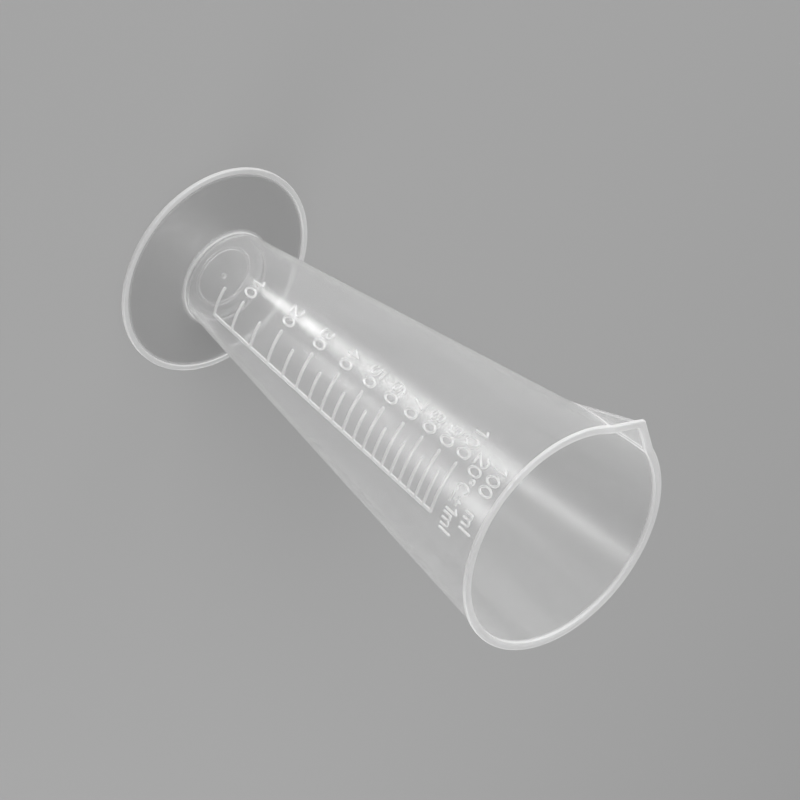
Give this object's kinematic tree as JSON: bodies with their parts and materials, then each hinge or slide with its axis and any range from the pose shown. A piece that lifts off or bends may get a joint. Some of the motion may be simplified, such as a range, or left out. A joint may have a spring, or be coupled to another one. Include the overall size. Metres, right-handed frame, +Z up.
{
  "type": "conical measure",
  "caption": "Translucent plastic conical measuring cup on a round foot, with a pouring spout in the rim and a raised volume scale.",
  "frame": {"origin": "centre of the foot's underside, on the table plane and on the cup's axis", "axes": "+Z up along the cup's axis, -X towards the pouring spout, -Y towards the scale"},
  "size_m": [0.0574, 0.0542, 0.1262],
  "materials": {
    "translucent_plastic": "translucent natural polypropylene, satin gloss",
    "raised_plastic": "the same translucent polypropylene, raised and slightly frosted"
  },
  "bodies": {
    "root": {"cone_wall": "translucent_plastic", "pouring_spout": "translucent_plastic", "rim_bead": "translucent_plastic", "cup_floor": "translucent_plastic", "foot_skirt": "translucent_plastic", "foot_rim": "translucent_plastic", "scale_line": "raised_plastic", "scale_marks_10ml": "raised_plastic", "scale_marks_5ml": "raised_plastic", "scale_numerals": "raised_plastic", "capacity_lettering": "raised_plastic"}
  },
  "joints": []
}
